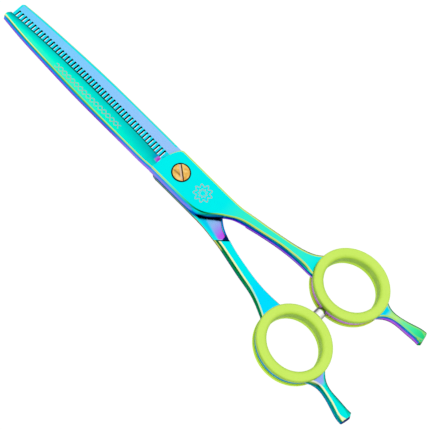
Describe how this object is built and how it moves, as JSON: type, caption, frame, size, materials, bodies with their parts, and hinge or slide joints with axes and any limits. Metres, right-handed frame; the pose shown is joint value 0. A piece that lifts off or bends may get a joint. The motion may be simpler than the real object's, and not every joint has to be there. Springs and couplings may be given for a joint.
{
  "type": "thinning shears",
  "caption": "Hairdresser's thinning shears: a smooth blade and a fine-toothed comb blade on a slotted pivot screw, oval finger rings with soft rubber inserts, a bumper and flared finger rests.",
  "frame": {"origin": "centre of the pivot insert's flat underside, on the pivot axis, on the plane that the closed shears rest on", "axes": "+X along the blades toward their tips, +Y toward the comb half's finger ring, +Z out of the screw head"},
  "size_m": [0.1985, 0.0602, 0.0086],
  "materials": {
    "comb_steel": "satin steel with a thin rainbow coating, teal to light blue",
    "cutting_steel": "polished steel with a thin rainbow coating, teal to purple at the edges",
    "grip_rubber": "matte lime-green rubber",
    "screw_gold": "gold-coloured polished metal",
    "washer_steel": "dark spring steel",
    "pivot_nylon": "natural nylon",
    "bumper_chrome": "bright plated metal",
    "bumper_nylon": "dark nylon"
  },
  "bodies": {
    "comb": {"comb_half": "comb_steel", "lower_finger_insert": "grip_rubber", "threaded_insert": "screw_gold", "friction_disc": "pivot_nylon"},
    "cutting": {"cutting_half": "cutting_steel", "upper_finger_insert": "grip_rubber", "pivot_bushing": "pivot_nylon", "spring_washer": "washer_steel", "bumper_stud": "bumper_chrome", "bumper_cap": "bumper_nylon"},
    "screw": {"pivot_screw": "screw_gold"}
  },
  "joints": [
    {"name": "blade_pivot", "type": "hinge", "parent": "comb", "child": "cutting", "pos_m": [0, 0, 0.0043], "axis": [0, 0, 1], "range_deg": [0, 60]},
    {"name": "tension_screw", "type": "hinge", "parent": "comb", "child": "screw", "pos_m": [0, 0, 0.0043], "axis": [0, 0, 1], "range_deg": [-45, 45]}
  ]
}
